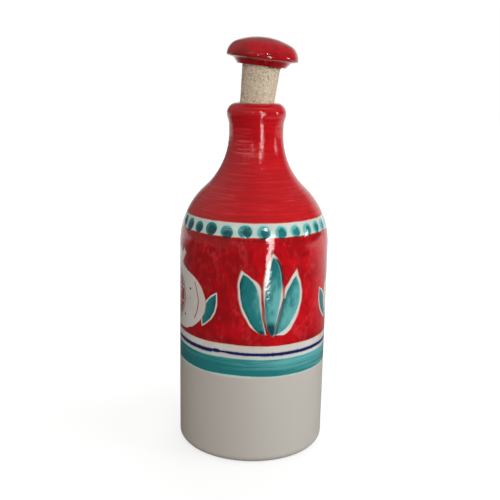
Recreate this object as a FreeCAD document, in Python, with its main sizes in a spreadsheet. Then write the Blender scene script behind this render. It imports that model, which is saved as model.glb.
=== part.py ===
"""Hand-thrown ceramic bottle for oil or vinegar, closed by a cork with a ceramic knob.

Three pieces: the bottle, a hollow turned shell on a foot ring; the tapered cork, which leans a
little in the bottle's mouth; and the glazed mushroom knob, whose socket holds the cork's top.
Millimetres, +Z up, the origin at the middle of the foot. The stopper leans towards +X.
"""

import FreeCAD
import Part
import os

import Sketcher
from FreeCAD import Vector

SHEET = "Dimensions"

# Each size that can be set by itself: alias, value, and what it measures.
DRIVING_SIZES = [
    ("bodyDiameter", 90.0, "outside of the straight wall"),
    ("wallTop", 125.4, "height where the shoulder starts"),
    ("shoulderRadius", 46.0, "round of the shoulder"),
    ("shoulderRise", 65.4, "from the shoulder's start to the neck"),
    ("neckClearance", 0.8, "gap between the cork's lower end and the neck's bore"),
    ("neckLength", 3.7, "straight stretch of the neck"),
    ("neckHollowRadius", 14.7, "hollow between the neck and the lip"),
    ("lipProjection", 1.3, "how far the lip stands out from the neck"),
    ("lipUndersideRadius", 9.6, "round of the lip below its widest line"),
    ("mouthRound", 0.8, "round of the mouth's inner edge"),
    ("throatLength", 2.4, "narrow band that grips the cork"),
    ("throatTaper", 3.5, "height of the cone from the throat to the neck's bore"),
    ("wallThickness", 5.0, "thrown wall, the same from the foot to the neck"),
    ("floorThickness", 7.0, "floor of the bottle at its middle"),
    ("floorRound", 11.0, "round between the floor and the wall, inside"),
    ("footRound", 4.6, "round of the outer edge at the foot"),
    ("footRingWidth", 5.2, "flat of the ring that the bottle stands on"),
    ("footRecess", 1.6, "depth of the hollow inside the foot ring"),
    ("footRecessRound", 1.2, "round at the edge of that hollow"),
    ("corkEndDiameter", 18.7, "lower end of the cork"),
    ("corkTopDiameter", 22.6, "upper end of the cork"),
    ("corkLength", 37.6, "whole cork"),
    ("corkShown", 20.6, "from the lip's top to the knob, along the cork"),
    ("corkChamfer", 0.6, "broken edges of the cork"),
    ("corkSeatGap", 0.03, "radial gap of the cork in the throat"),
    ("corkGlueGap", 0.1, "radial glue line in the knob's socket"),
    ("stopperLean", 5.7, "degrees that the stopper leans"),
    ("socketDepth", 4.0, "how deep the cork sits in the knob"),
    ("knobDiameter", 41.8, "widest line of the knob"),
    ("knobHeight", 16.3, "from the collar's foot to the crown"),
    ("knobRimHeight", 4.75, "from the collar's foot to the widest line"),
    ("knobKnuckleRadius", 8.9, "round between the crown and the widest line"),
    ("knobRimRadius", 1.0, "round under the widest line"),
    ("collarWall", 2.8, "wall round the socket, at the foot of the knob's collar"),
    ("collarHeight", 3.0, "height of the collar's cone"),
    ("collarFlare", 2.5, "how much wider the collar's top is, in radius"),
    ("collarEdge", 0.5, "softened lower edge of the collar"),
]


def size(alias):
    """How a formula names a driving size."""
    return f"({SHEET}.{alias})"


# Sizes that follow from the driving ones, as formulas that the sketches are bound to.
LEAN_TURN = f"({size('stopperLean')} * 1 deg)"

# The stopper turns about the middle of the throat, the narrow band below the mouth's round. The
# slope of the cork's side is a radius per length.
CORK_SLOPE = f"(({size('corkTopDiameter')} - {size('corkEndDiameter')}) / 2 / {size('corkLength')})"
CORK_ABOVE_LIP = f"({size('corkShown')} + {size('socketDepth')})"
THROAT_DROP = f"({size('mouthRound')} + {size('throatLength')} / 2)"
CORK_ABOVE_SEAT = f"({CORK_ABOVE_LIP} + {THROAT_DROP})"
CORK_BELOW_SEAT = f"({size('corkLength')} - {CORK_ABOVE_SEAT})"
CORK_SEAT_RADIUS = f"({size('corkEndDiameter')} / 2 + {CORK_SLOPE} * {CORK_BELOW_SEAT})"

# The throat is as wide as the cork needs on the side that it leans to, where its side passes
# closest to the round of the mouth.
CORK_SIDE_TURN = f"({LEAN_TURN} + atan({CORK_SLOPE}))"
SIDE_RISE = f"({size('throatLength')} / 2 + {CORK_SEAT_RADIUS} * sin({LEAN_TURN}))"
ROUND_ALLOWANCE = f"({size('mouthRound')} * (1 / cos({CORK_SIDE_TURN}) - 1))"
THROAT_RADIUS = (
    f"({CORK_SEAT_RADIUS} * cos({LEAN_TURN}) + {SIDE_RISE} * tan({CORK_SIDE_TURN})"
    f" + {ROUND_ALLOWANCE} + {size('corkSeatGap')})"
)

# The neck clears the cork's lower end, which swings away from the side that the knob leans to.
CORK_END_SWING = f"({CORK_BELOW_SEAT} * sin({LEAN_TURN}))"
CORK_END_REACH = f"({size('corkEndDiameter')} / 2 * cos({LEAN_TURN}) + {CORK_END_SWING})"
NECK_BORE = f"({CORK_END_REACH} + {size('neckClearance')})"
NECK_RADIUS = f"({NECK_BORE} + {size('wallThickness')})"
BODY_RADIUS = f"({size('bodyDiameter')} / 2)"
INNER_RADIUS = f"({BODY_RADIUS} - {size('wallThickness')})"
NECK_BOTTOM = f"({size('wallTop')} + {size('shoulderRise')})"
NECK_TOP = f"({NECK_BOTTOM} + {size('neckLength')})"

# The shoulder is two tangent arcs between the upright wall and the upright neck.
SHOULDER_DROP = f"({BODY_RADIUS} - {NECK_RADIUS})"
SHOULDER_TURN = f"(2 * atan({SHOULDER_DROP} / {size('shoulderRise')}))"
BOTH_RADII = f"({size('shoulderRise')} / sin({SHOULDER_TURN}))"
SWEEP_RADIUS = f"({BOTH_RADII} - {size('shoulderRadius')})"

# The lip's lower arc touches the hollow above the neck, which sets how high the lip sits.
LIP_RADIUS = f"({NECK_RADIUS} + {size('lipProjection')})"
LIP_ARCS = f"({size('neckHollowRadius')} + {size('lipUndersideRadius')})"
LIP_RISE = f"sqrt(2 * {LIP_ARCS} * {size('lipProjection')} - {size('lipProjection')} ^ 2)"
LIP_MIDDLE = f"({NECK_TOP} + {LIP_RISE})"
LIP_ROUND = f"({LIP_RADIUS} - {THROAT_RADIUS} - {size('mouthRound')})"
LIP_TOP = f"({LIP_MIDDLE} + {LIP_ROUND})"
THROAT_TOP = f"({LIP_TOP} - {size('mouthRound')})"
THROAT_BOTTOM = f"({THROAT_TOP} - {size('throatLength')})"
SEAT_HEIGHT = f"({LIP_TOP} - {THROAT_DROP})"
BORE_TOP = f"({THROAT_BOTTOM} - {size('throatTaper')})"

# The knob's crown is the arc that closes over both knuckles.
SOCKET_RADIUS = f"({size('corkTopDiameter')} / 2 + {size('corkGlueGap')})"
COLLAR_RADIUS = f"({SOCKET_RADIUS} + {size('collarWall')})"
COLLAR_TOP_RADIUS = f"({COLLAR_RADIUS} + {size('collarFlare')})"
KNOB_RADIUS = f"({size('knobDiameter')} / 2)"
KNUCKLE_REACH = f"({KNOB_RADIUS} - {size('knobKnuckleRadius')})"
CROWN_RISE = f"({size('knobHeight')} - {size('knobRimHeight')})"
CROWN_RADIUS = (
    f"(({KNUCKLE_REACH} ^ 2 + {CROWN_RISE} ^ 2 - {size('knobKnuckleRadius')} ^ 2)"
    f" / (2 * ({CROWN_RISE} - {size('knobKnuckleRadius')})))"
)
KNOB_OFFSET = f"({size('corkShown')} + {THROAT_DROP})"

FOOT_RECESS_RADIUS = f"({BODY_RADIUS} - {size('footRound')} - {size('footRingWidth')})"
CUT_PAST = 3.0  # how far a cutting profile runs past the face that it opens

document = FreeCAD.newDocument("OilBottle")
sheet = document.addObject("Spreadsheet::Sheet", SHEET)
for row, (alias, number, meaning) in enumerate(DRIVING_SIZES, start=1):
    sheet.set(f"A{row}", meaning)
    sheet.set(f"B{row}", str(number))
    sheet.setAlias(f"B{row}", alias)
document.recompute()


def value(formula):
    """The number that a formula gives with the sizes now in the sheet."""
    result = sheet.evalExpression(formula)
    return float(getattr(result, "Value", result))


class Profile:
    """A closed outline on a body's XZ plane: x is the radius, y the height, and it turns about y.

    Each step adds a line or an arc from where the last one ended. A step is joined tangent to the
    one before it where the two run on smoothly, and by a shared point elsewhere.
    """

    def __init__(self, body, name, start):
        self.sketch = body.newObject("Sketcher::SketchObject", name)
        planes = body.Origin.OriginFeatures
        upright = [plane for plane in planes if plane.Role == "XZ_Plane"][0]
        self.sketch.AttachmentSupport = [(upright, "")]
        self.sketch.MapMode = "FlatFace"
        self.at = start
        self.steps = []

    def _join(self, index, starts_at, smooth):
        """Joins a new step to the end of the last one."""
        if self.steps:
            before, before_end = self.steps[-1]
            kind = "Tangent" if smooth else "Coincident"
            joint = Sketcher.Constraint(kind, before, before_end, index, starts_at)
            self.sketch.addConstraint(joint)

    def line(self, end, smooth=False):
        """A straight step, held level or upright where it is so."""
        start = Vector(*self.at, 0)
        finish = Vector(*end, 0)
        index = self.sketch.addGeometry(Part.LineSegment(start, finish), False)
        self._join(index, 1, smooth)
        if abs(start.x - finish.x) < 1e-9:
            self.sketch.addConstraint(Sketcher.Constraint("Vertical", index))
        elif abs(start.y - finish.y) < 1e-9:
            self.sketch.addConstraint(Sketcher.Constraint("Horizontal", index))
        self.steps.append((index, 2))
        self.at = end
        return index

    def arc(self, centre, end, anticlockwise, smooth=True):
        """A round step about a centre. A sketch arc always runs anticlockwise."""
        middle = Vector(*centre, 0)
        start = Vector(*self.at, 0) - middle
        finish = Vector(*end, 0) - middle
        reference = Vector(1, 0, 0)
        start_angle = start.getAngle(reference) * (1 if start.y >= 0 else -1)
        end_angle = finish.getAngle(reference) * (1 if finish.y >= 0 else -1)
        circle = Part.Circle(middle, Vector(0, 0, 1), start.Length)
        if anticlockwise:
            arc = Part.ArcOfCircle(circle, start_angle, end_angle)
            first, last = 1, 2
        else:
            arc = Part.ArcOfCircle(circle, end_angle, start_angle)
            first, last = 2, 1
        index = self.sketch.addGeometry(arc, False)
        self._join(index, first, smooth)
        self.steps.append((index, last))
        self.at = end
        return index

    def close(self, to_origin=False):
        """Joins the last step to the first, and pins the first to the origin or to the axis."""
        last, last_end = self.steps[-1]
        first = self.steps[0][0]
        self.sketch.addConstraint(Sketcher.Constraint("Coincident", last, last_end, first, 1))
        if to_origin:
            self.sketch.addConstraint(Sketcher.Constraint("Coincident", first, 1, -1, 1))
        else:
            self.sketch.addConstraint(Sketcher.Constraint("PointOnObject", first, 1, -2))

    def _datum(self, name, formula, *constraint):
        index = self.sketch.addConstraint(Sketcher.Constraint(*constraint, value(formula)))
        self.sketch.renameConstraint(index, name)
        self.sketch.setExpression(f"Constraints.{name}", formula)

    def radius(self, name, index, formula):
        """Binds an arc's radius."""
        self._datum(name, formula, "Radius", index)

    def across(self, name, index, point, formula):
        """Binds a point's distance from the axis. Point 1 is a start, 2 an end and 3 a centre."""
        self._datum(name, formula, "DistanceX", -1, 1, index, point)

    def height(self, name, index, point, formula):
        """Binds a point's height."""
        self._datum(name, formula, "DistanceY", -1, 1, index, point)

    def level(self, one, one_point, other, other_point):
        """Holds two points at one height."""
        same = Sketcher.Constraint("Horizontal", one, one_point, other, other_point)
        self.sketch.addConstraint(same)

    def upright(self, one, one_point, other, other_point):
        """Holds two points at one distance from the axis."""
        same = Sketcher.Constraint("Vertical", one, one_point, other, other_point)
        self.sketch.addConstraint(same)


def turn(body, profile, kind, name):
    """Turns a profile a full circle about the body's axis, as a solid or as a cut."""
    feature = body.newObject(kind, name)
    feature.Profile = profile.sketch
    feature.ReferenceAxis = (profile.sketch, ["V_Axis"])
    feature.Angle = 360.0
    profile.sketch.Visibility = False
    document.recompute()
    return feature


def round_edges(shape, radius, height):
    """Names of the circular edges of that radius at that height, in the body's own frame."""
    names = []
    for number, edge in enumerate(shape.Edges, start=1):
        if edge.Degenerated or not isinstance(edge.Curve, Part.Circle):
            continue
        same_size = abs(edge.Curve.Radius - radius) < 0.01
        if same_size and abs(edge.Curve.Center.z - height) < 0.01:
            names.append(f"Edge{number}")
    if not names:
        raise RuntimeError(f"no circular edge of radius {radius:.2f} at height {height:.2f}")
    return names


def bottle_outside(body):
    """The turned outer form: foot, straight wall, shoulder, neck and rounded lip."""
    body_radius = value(BODY_RADIUS)
    neck_radius = value(NECK_RADIUS)
    foot_round = value(size("footRound"))
    wall_top = value(size("wallTop"))
    shoulder_radius = value(size("shoulderRadius"))
    sweep_radius = value(SWEEP_RADIUS)
    neck_bottom = value(NECK_BOTTOM)
    neck_top = value(NECK_TOP)
    hollow_radius = value(size("neckHollowRadius"))
    underside_radius = value(size("lipUndersideRadius"))
    lip_radius = value(LIP_RADIUS)
    lip_round = value(LIP_ROUND)
    lip_middle = value(LIP_MIDDLE)
    lip_top = value(LIP_TOP)

    shoulder_centre = Vector(body_radius - shoulder_radius, wall_top, 0)
    sweep_centre = Vector(neck_radius + sweep_radius, neck_bottom, 0)
    towards_sweep = (sweep_centre - shoulder_centre).normalize()
    shoulder_end = shoulder_centre + towards_sweep * shoulder_radius
    hollow_centre = Vector(neck_radius + hollow_radius, neck_top, 0)
    underside_centre = Vector(lip_radius - underside_radius, lip_middle, 0)
    towards_lip = (underside_centre - hollow_centre).normalize()
    hollow_end = hollow_centre + towards_lip * hollow_radius

    profile = Profile(body, "BottleOutline", (0.0, 0.0))
    profile.line((body_radius - foot_round, 0.0))
    foot = profile.arc((body_radius - foot_round, foot_round), (body_radius, foot_round), True)
    wall = profile.line((body_radius, wall_top), smooth=True)
    shoulder = profile.arc(shoulder_centre[:2], shoulder_end[:2], True)
    profile.arc(sweep_centre[:2], (neck_radius, neck_bottom), False)
    neck = profile.line((neck_radius, neck_top), smooth=True)
    hollow = profile.arc(hollow_centre[:2], hollow_end[:2], False)
    underside = profile.arc(underside_centre[:2], (lip_radius, lip_middle), True)
    lip = profile.arc((lip_radius - lip_round, lip_middle), (lip_radius - lip_round, lip_top), True)
    profile.line((0.0, lip_top), smooth=True)
    profile.line((0.0, 0.0))
    profile.close(to_origin=True)

    profile.across("bodyRadius", wall, 1, BODY_RADIUS)
    profile.height("wallTop", wall, 2, size("wallTop"))
    profile.radius("footRound", foot, size("footRound"))
    profile.radius("shoulderRadius", shoulder, size("shoulderRadius"))
    profile.across("neckRadius", neck, 1, NECK_RADIUS)
    profile.height("neckBottom", neck, 1, NECK_BOTTOM)
    profile.height("neckTop", neck, 2, NECK_TOP)
    profile.radius("neckHollow", hollow, size("neckHollowRadius"))
    profile.radius("lipUnderside", underside, size("lipUndersideRadius"))
    profile.radius("lipRound", lip, LIP_ROUND)
    profile.across("lipRadius", lip, 1, LIP_RADIUS)
    profile.level(underside, 3, lip, 3)
    return turn(body, profile, "PartDesign::Revolution", "ThrownForm")


def bottle_cavity(body):
    """The space for the oil, one wall inside the outer form, with the neck's bore and the throat."""
    inner_radius = value(INNER_RADIUS)
    floor = value(size("floorThickness"))
    floor_round = value(size("floorRound"))
    wall = value(size("wallThickness"))
    wall_top = value(size("wallTop"))
    shoulder_radius = value(size("shoulderRadius"))
    sweep_radius = value(SWEEP_RADIUS)
    neck_radius = value(NECK_RADIUS)
    neck_bore = value(NECK_BORE)
    neck_bottom = value(NECK_BOTTOM)
    throat_radius = value(THROAT_RADIUS)
    throat_top = value(THROAT_TOP)
    mouth_round = value(size("mouthRound"))
    lip_top = value(LIP_TOP)

    shoulder_centre = Vector(inner_radius + wall - shoulder_radius, wall_top, 0)
    sweep_centre = Vector(neck_radius + sweep_radius, neck_bottom, 0)
    towards_sweep = (sweep_centre - shoulder_centre).normalize()
    shoulder_end = shoulder_centre + towards_sweep * (shoulder_radius - wall)

    profile = Profile(body, "CavityOutline", (0.0, floor))
    floor_line = profile.line((inner_radius - floor_round, floor))
    corner = profile.arc(
        (inner_radius - floor_round, floor + floor_round), (inner_radius, floor + floor_round), True
    )
    inside = profile.line((inner_radius, wall_top), smooth=True)
    shoulder = profile.arc(shoulder_centre[:2], shoulder_end[:2], True)
    profile.arc(sweep_centre[:2], (neck_bore, neck_bottom), False)
    bore = profile.line((neck_bore, value(BORE_TOP)), smooth=True)
    profile.line((throat_radius, value(THROAT_BOTTOM)))
    throat = profile.line((throat_radius, throat_top))
    mouth_radius = throat_radius + mouth_round
    mouth = profile.arc((mouth_radius, throat_top), (mouth_radius, lip_top), False)
    rise = profile.line((mouth_radius, lip_top + CUT_PAST))
    profile.line((0.0, lip_top + CUT_PAST))
    profile.line((0.0, floor))
    profile.close()

    profile.height("floorThickness", floor_line, 1, size("floorThickness"))
    profile.radius("floorRound", corner, size("floorRound"))
    profile.across("innerRadius", inside, 1, INNER_RADIUS)
    profile.height("wallTop", inside, 2, size("wallTop"))
    profile.radius("shoulderInside", shoulder, f"{size('shoulderRadius')} - {size('wallThickness')}")
    profile.across("neckBore", bore, 1, NECK_BORE)
    profile.height("neckBottom", bore, 1, NECK_BOTTOM)
    profile.height("boreTop", bore, 2, BORE_TOP)
    profile.across("throatRadius", throat, 1, THROAT_RADIUS)
    profile.height("throatBottom", throat, 1, THROAT_BOTTOM)
    profile.height("throatTop", throat, 2, THROAT_TOP)
    profile.radius("mouthRound", mouth, size("mouthRound"))
    profile.upright(mouth, 3, rise, 1)
    profile.height("cutTop", rise, 2, f"{LIP_TOP} + {CUT_PAST}")
    return turn(body, profile, "PartDesign::Groove", "Cavity")


def foot_recess(body):
    """The shallow hollow that leaves a ring to stand on, with a soft edge."""
    radius = value(FOOT_RECESS_RADIUS)
    depth = value(size("footRecess"))
    profile = Profile(body, "FootRecessOutline", (0.0, -CUT_PAST))
    below = profile.line((radius, -CUT_PAST))
    side = profile.line((radius, depth))
    profile.line((0.0, depth))
    profile.line((0.0, -CUT_PAST))
    profile.close()
    profile.height("cutBottom", below, 1, f"-{CUT_PAST}")
    profile.across("recessRadius", side, 2, FOOT_RECESS_RADIUS)
    profile.height("recessDepth", side, 2, size("footRecess"))
    recess = turn(body, profile, "PartDesign::Groove", "FootRecess")

    soft_edge = body.newObject("PartDesign::Fillet", "FootRecessRound")
    soft_edge.Base = (recess, round_edges(recess.Shape, radius, depth))
    soft_edge.setExpression("Radius", size("footRecessRound"))
    document.recompute()
    return soft_edge


def make_bottle():
    """The bottle, turned and hollowed."""
    body = document.addObject("PartDesign::Body", "Bottle")
    body.Label = "bottle"
    outside = bottle_outside(body)
    solid_volume = outside.Shape.Volume
    cavity = bottle_cavity(body)
    if cavity.Shape.Volume > 0.5 * solid_volume:
        raise RuntimeError("the cavity was not cut")
    body.Tip = foot_recess(body)
    body.Placement = FreeCAD.Placement()
    return body


def lean_in_mouth(body, offset):
    """Sets a piece on the stopper's axis, that far above the seat in the throat."""
    lean = FreeCAD.Rotation(Vector(0, 1, 0), value(size("stopperLean")))
    body.Placement = FreeCAD.Placement(Vector(), lean)
    body.setExpression("Placement.Base.x", f"{offset} * sin({LEAN_TURN})")
    body.setExpression("Placement.Base.z", f"{SEAT_HEIGHT} + {offset} * cos({LEAN_TURN})")
    body.setExpression("Placement.Rotation.Angle", size("stopperLean"))


def make_cork():
    """The tapered cork with broken edges. Its own origin is at its lower end."""
    body = document.addObject("PartDesign::Body", "Cork")
    body.Label = "cork"
    length = value(size("corkLength"))
    end_radius = value(size("corkEndDiameter")) / 2
    top_radius = value(size("corkTopDiameter")) / 2

    profile = Profile(body, "CorkOutline", (0.0, 0.0))
    profile.line((end_radius, 0.0))
    side = profile.line((top_radius, length))
    profile.line((0.0, length))
    profile.line((0.0, 0.0))
    profile.close(to_origin=True)
    profile.across("endRadius", side, 1, f"{size('corkEndDiameter')} / 2")
    profile.across("topRadius", side, 2, f"{size('corkTopDiameter')} / 2")
    profile.height("corkLength", side, 2, size("corkLength"))
    taper = turn(body, profile, "PartDesign::Revolution", "CorkTaper")

    edges = round_edges(taper.Shape, end_radius, 0.0) + round_edges(taper.Shape, top_radius, length)
    broken = body.newObject("PartDesign::Chamfer", "CorkEdges")
    broken.Base = (taper, edges)
    broken.setExpression("Size", size("corkChamfer"))
    document.recompute()
    body.Tip = broken
    lean_in_mouth(body, f"(-{CORK_BELOW_SEAT})")
    return body


def knob_outside(body):
    """The knob's turned form: collar, hollow underside, rim, knuckle and crown."""
    knob_radius = value(KNOB_RADIUS)
    knob_height = value(size("knobHeight"))
    rim_height = value(size("knobRimHeight"))
    rim_radius = value(size("knobRimRadius"))
    knuckle_radius = value(size("knobKnuckleRadius"))
    crown_radius = value(CROWN_RADIUS)
    collar_radius = value(COLLAR_RADIUS)
    collar_height = value(size("collarHeight"))
    collar_top_radius = value(COLLAR_TOP_RADIUS)

    rim_centre = Vector(knob_radius - rim_radius, rim_height, 0)
    collar_top = Vector(collar_top_radius, collar_height, 0)
    # The underside runs from the collar's top tangent to the round under the rim.
    to_centre = rim_centre - collar_top
    reach = (to_centre.Length ** 2 - rim_radius ** 2) ** 0.5
    sideways = Vector(to_centre.y, -to_centre.x, 0)
    tangent = (to_centre * reach + sideways * rim_radius) / to_centre.Length ** 2
    underside_end = collar_top + tangent * reach
    knuckle_centre = Vector(knob_radius - knuckle_radius, rim_height, 0)
    crown_centre = Vector(0, knob_height - crown_radius, 0)
    towards_knuckle = (knuckle_centre - crown_centre).normalize()
    knuckle_end = knuckle_centre + towards_knuckle * knuckle_radius

    profile = Profile(body, "KnobOutline", (0.0, 0.0))
    profile.line((collar_radius, 0.0))
    collar = profile.line((collar_top_radius, collar_height))
    profile.line(underside_end[:2])
    rim = profile.arc(rim_centre[:2], (knob_radius, rim_height), True)
    knuckle = profile.arc(knuckle_centre[:2], knuckle_end[:2], True)
    crown = profile.arc(crown_centre[:2], (0.0, knob_height), True)
    profile.line((0.0, 0.0))
    profile.close(to_origin=True)

    profile.across("collarRadius", collar, 1, COLLAR_RADIUS)
    profile.across("collarTopRadius", collar, 2, COLLAR_TOP_RADIUS)
    profile.height("collarHeight", collar, 2, size("collarHeight"))
    profile.radius("rimRound", rim, size("knobRimRadius"))
    profile.across("knobRadius", rim, 2, KNOB_RADIUS)
    profile.height("rimHeight", rim, 2, size("knobRimHeight"))
    profile.level(rim, 3, rim, 2)
    profile.radius("knuckleRadius", knuckle, size("knobKnuckleRadius"))
    profile.height("knobHeight", crown, 2, size("knobHeight"))
    profile.sketch.addConstraint(Sketcher.Constraint("PointOnObject", crown, 3, -2))
    return turn(body, profile, "PartDesign::Revolution", "KnobForm")


def knob_socket(body):
    """The blind socket that the cork is glued into."""
    radius = value(SOCKET_RADIUS)
    depth = value(size("socketDepth"))
    profile = Profile(body, "SocketOutline", (0.0, -CUT_PAST))
    below = profile.line((radius, -CUT_PAST))
    side = profile.line((radius, depth))
    profile.line((0.0, depth))
    profile.line((0.0, -CUT_PAST))
    profile.close()
    profile.height("cutBottom", below, 1, f"-{CUT_PAST}")
    profile.across("socketRadius", side, 2, SOCKET_RADIUS)
    profile.height("socketDepth", side, 2, size("socketDepth"))
    return turn(body, profile, "PartDesign::Groove", "Socket")


def make_knob():
    """The glazed knob. Its own origin is at the middle of the collar's foot."""
    body = document.addObject("PartDesign::Body", "Knob")
    body.Label = "stopper_knob"
    knob_outside(body)
    socket = knob_socket(body)
    soft_edge = body.newObject("PartDesign::Fillet", "CollarEdge")
    soft_edge.Base = (socket, round_edges(socket.Shape, value(COLLAR_RADIUS), 0.0))
    soft_edge.setExpression("Radius", size("collarEdge"))
    document.recompute()
    body.Tip = soft_edge
    lean_in_mouth(body, KNOB_OFFSET)
    return body


def check(pieces):
    """Stops the build where a feature failed or a piece isn't one sound solid."""
    document.recompute()
    for item in document.Objects:
        if "Invalid" in item.State or "Error" in item.State:
            raise RuntimeError(f"{item.Name} failed: {item.State}")
        if item.isDerivedFrom("Sketcher::SketchObject") and not item.FullyConstrained:
            raise RuntimeError(f"{item.Name} is not fully constrained")
    for piece in pieces:
        shape = piece.Shape
        if shape.isNull() or not shape.isValid() or len(shape.Solids) != 1:
            raise RuntimeError(f"{piece.Label} is not one sound solid")


def export(pieces):
    """Writes each piece to its own file and prints what it measures."""
    os.makedirs("parts", exist_ok=True)
    for piece in pieces:
        piece.Shape.exportStep(os.path.join("parts", f"{piece.Label}.step"))
        box = piece.Shape.BoundBox
        print(f"{piece.Label}: {piece.Shape.Volume / 1000:.2f} cm3, z {box.ZMin:.2f} to {box.ZMax:.2f}, "
              f"x {box.XMin:.2f} to {box.XMax:.2f}")


pieces = [make_bottle(), make_cork(), make_knob()]
check(pieces)
export(pieces)
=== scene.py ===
import math
import random
from functools import partial

import bmesh
import bpy
from mathutils import Matrix, Vector, noise


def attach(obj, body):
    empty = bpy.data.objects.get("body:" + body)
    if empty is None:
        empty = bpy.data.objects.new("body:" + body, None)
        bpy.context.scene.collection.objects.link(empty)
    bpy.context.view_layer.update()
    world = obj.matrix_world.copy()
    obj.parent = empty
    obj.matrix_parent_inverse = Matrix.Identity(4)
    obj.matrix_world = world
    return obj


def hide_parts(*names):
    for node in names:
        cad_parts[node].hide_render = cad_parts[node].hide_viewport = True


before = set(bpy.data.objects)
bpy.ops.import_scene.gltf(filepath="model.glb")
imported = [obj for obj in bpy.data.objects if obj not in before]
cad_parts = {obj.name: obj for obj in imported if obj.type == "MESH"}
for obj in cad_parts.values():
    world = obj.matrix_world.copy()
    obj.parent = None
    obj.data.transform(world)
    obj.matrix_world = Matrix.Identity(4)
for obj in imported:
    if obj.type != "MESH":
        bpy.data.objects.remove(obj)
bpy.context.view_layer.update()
mm = 0.001

# settings that many nodes share: sums, an eased ramp, and a mix of two colours at sockets 6 and 7
times, plus, minus, over, scaled = (
    {"operation": word} for word in ("MULTIPLY", "ADD", "SUBTRACT", "DIVIDE", "MULTIPLY_ADD"))
least, most, absolute, wrap, power = (
    {"operation": word} for word in ("MINIMUM", "MAXIMUM", "ABSOLUTE", "WRAP", "POWER"))
soft = {"interpolation_type": "SMOOTHSTEP"}
tint = {"data_type": "RGBA", "out": 2}


def hexColor(text):  # sRGB hex to the linear colour that a socket wants
    parts = [int(text[i:i + 2], 16) / 255 for i in (1, 3, 5)]
    return [c / 12.92 if c <= 0.04045 else ((c + 0.055) / 1.055) ** 2.4 for c in parts] + [1.0]


def addNode(tree, kind, *feeds, out=0, **settings):  # one node, with its settings and what feeds it
    node = tree.nodes.new("ShaderNode" + kind)
    for key, value in settings.items():
        setattr(node, key, value)
    named = feeds[0] if feeds and isinstance(feeds[0], dict) else dict(enumerate(feeds))
    for key, value in named.items():
        if isinstance(value, bpy.types.NodeSocket):
            tree.links.new(value, node.inputs[key])
        else:
            node.inputs[key].default_value = value
    if out is None or not len(node.outputs):
        return node
    return node.outputs[out]


def newMaterial(name):
    material = bpy.data.materials.new(name)
    material.use_nodes = True
    material.node_tree.nodes.clear()
    return material, partial(addNode, material.node_tree)


def arcPoints(centre, radius, startDeg, endDeg, pitch):  # an arc of the section, in mm
    turn = math.radians(endDeg - startDeg)
    steps = max(2, round(abs(turn) * radius / pitch))
    angles = [math.radians(startDeg) + turn * i / steps for i in range(steps + 1)]
    return [(centre[0] + radius * math.cos(a), centre[1] + radius * math.sin(a)) for a in angles]


def linePoints(start, end, pitch):
    steps = max(1, round(math.dist(start, end) / pitch))
    return [(start[0] + (end[0] - start[0]) * i / steps, start[1] + (end[1] - start[1]) * i / steps)
            for i in range(steps + 1)]


def joinRuns(*runs):  # runs of points end to end, without the doubled joints
    points = []
    for run in runs:
        for point in run:
            if not points or math.dist(points[-1], point) > 0.005:
                points.append(point)
    return points


def spinSection(points, segments):  # turns a section in mm about the axis, as a closed mesh
    bm = bmesh.new()
    verts = [bm.verts.new((r * mm, 0, z * mm)) for r, z in points]
    edges = [bm.edges.new(pair) for pair in zip(verts, verts[1:])]
    bmesh.ops.spin(bm, geom=verts + edges, axis=(0, 0, 1), cent=(0, 0, 0),
                   angle=math.tau, steps=segments, use_merge=True)
    bmesh.ops.remove_doubles(bm, verts=bm.verts, dist=0.002 * mm)
    bmesh.ops.recalc_face_normals(bm, faces=bm.faces)
    bm.normal_update()
    return bm


def finishPiece(bm, name, material, crease=180):  # crease in degrees, where the shading breaks
    mesh = bpy.data.meshes.new(name)
    bm.to_mesh(mesh)
    bm.free()
    mesh.shade_smooth()
    mesh.set_sharp_from_angle(angle=math.radians(crease))
    piece = bpy.data.objects.new(name, mesh)
    bpy.context.scene.collection.objects.link(piece)
    mesh.materials.append(material)
    return piece


bottleForm = {           # mm
    "bodyRadius": 45.0,
    "wall": 5.0,
    "floor": 7.0,
    "floorRound": 11.0,
    "footRound": 4.6,
    "footFlat": 5.2,
    "footRecess": 1.6,
    "footRecessRound": 1.2,
    "wallTop": 125.4,
    "shoulderRadius": 46.0,
    "shoulderRise": 65.4,
    "neckRadius": 16.2,
    "neckLength": 3.7,
    "hollowRadius": 14.7,
    "lipRadius": 17.5,
    "undersideRadius": 9.6,
    "throatRadius": 10.55,
    "mouthRound": 0.8,
    "throatLength": 2.4,
    "throatTaper": 3.5,
    "boreRadius": 11.2,
    "segments": 224,
    "pitch": 0.95,       # spacing of the rows outside
    "innerPitch": 5.0,
    "ringDepth": 0.11,   # throwing rings on the neck and the shoulder
    "ringPitch": 3.2,
    "ringsFrom": 120,    # the wall below was smoothed
    "ringsOver": 40,     # and they deepen over this height
    "ringsWander": 38,
    "ringsFadeWide": 60,
    "ringsFadeTall": 9,
    "lumpDepth": 0.10,   # slow unevenness of the hand-smoothed wall
    "lumpWide": 11,
    "smallLumpWide": 4.2,
}


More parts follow.
